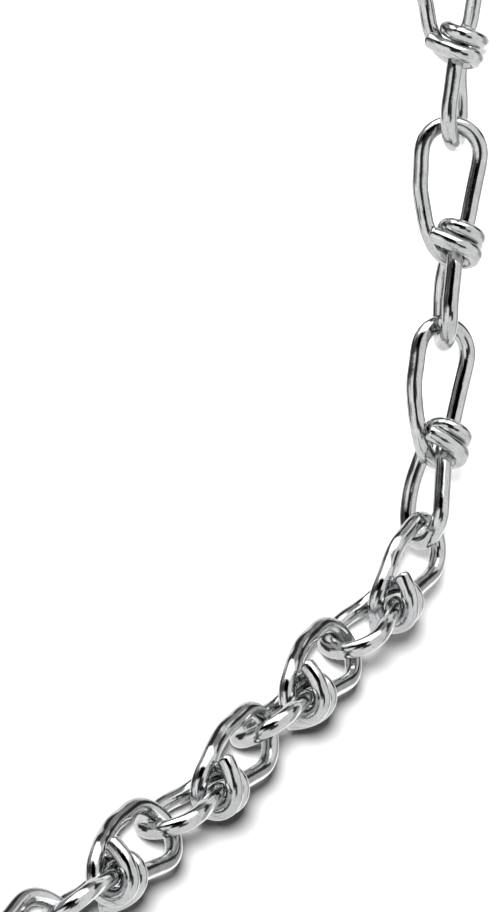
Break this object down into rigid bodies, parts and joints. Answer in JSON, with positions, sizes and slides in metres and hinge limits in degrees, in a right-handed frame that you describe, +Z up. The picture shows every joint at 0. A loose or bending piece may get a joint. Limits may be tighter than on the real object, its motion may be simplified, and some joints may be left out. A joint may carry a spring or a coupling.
{
  "type": "knotted double loop chain",
  "caption": "Length of bright steel chain laid out in one layer; each link is one wire bent into two crossed loops and knotted at the waist.",
  "frame": {"origin": "middle of the floor rectangle that the chain covers, at floor level", "axes": "+Z up from the floor; +X along the straight stretch, from the long-loop end towards the short-loop end; +Y completes the right-handed frame"},
  "size_m": [0.5009, 0.2702, 0.0158],
  "materials": {
    "bright_steel": "bright zinc plated drawn wire, finely scratched"
  },
  "bodies": {
    "root": {"link_01": "bright_steel", "link_02": "bright_steel", "link_03": "bright_steel", "link_04": "bright_steel", "link_05": "bright_steel", "link_06": "bright_steel", "link_07": "bright_steel", "link_08": "bright_steel", "link_09": "bright_steel", "link_10": "bright_steel", "link_11": "bright_steel", "link_12": "bright_steel", "link_13": "bright_steel", "link_14": "bright_steel", "link_15": "bright_steel", "link_16": "bright_steel", "link_17": "bright_steel", "link_18": "bright_steel", "link_19": "bright_steel", "link_20": "bright_steel", "link_21": "bright_steel", "link_22": "bright_steel", "link_23": "bright_steel", "link_24": "bright_steel"}
  },
  "joints": []
}
